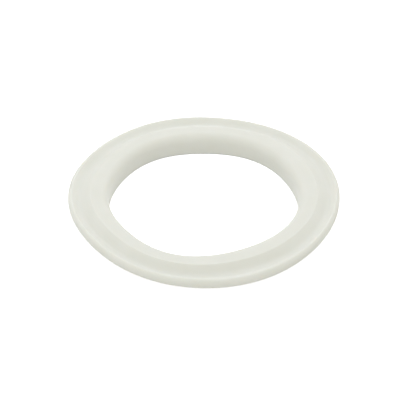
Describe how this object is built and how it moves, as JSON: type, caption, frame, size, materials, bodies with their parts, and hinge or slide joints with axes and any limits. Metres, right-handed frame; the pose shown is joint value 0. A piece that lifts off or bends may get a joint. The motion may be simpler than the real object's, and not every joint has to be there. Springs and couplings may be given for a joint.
{
  "type": "shaft seal",
  "caption": "Moulded soft ring seal for a shaft: low rounded collar round the bore, sloping down to a soft crease, and a thick, slightly dished lip with a round rim that tapers in to a flat base.",
  "frame": {"origin": "centre of the flat base, on the bore's axis", "axes": "+Z along the bore's axis, from the flat base towards the collar; the ring is round, so +X is any radius"},
  "size_m": [0.065, 0.065, 0.0057],
  "materials": {
    "silicone": "satin, slightly translucent off-white"
  },
  "bodies": {
    "root": {"seal_ring": "silicone"}
  },
  "joints": []
}
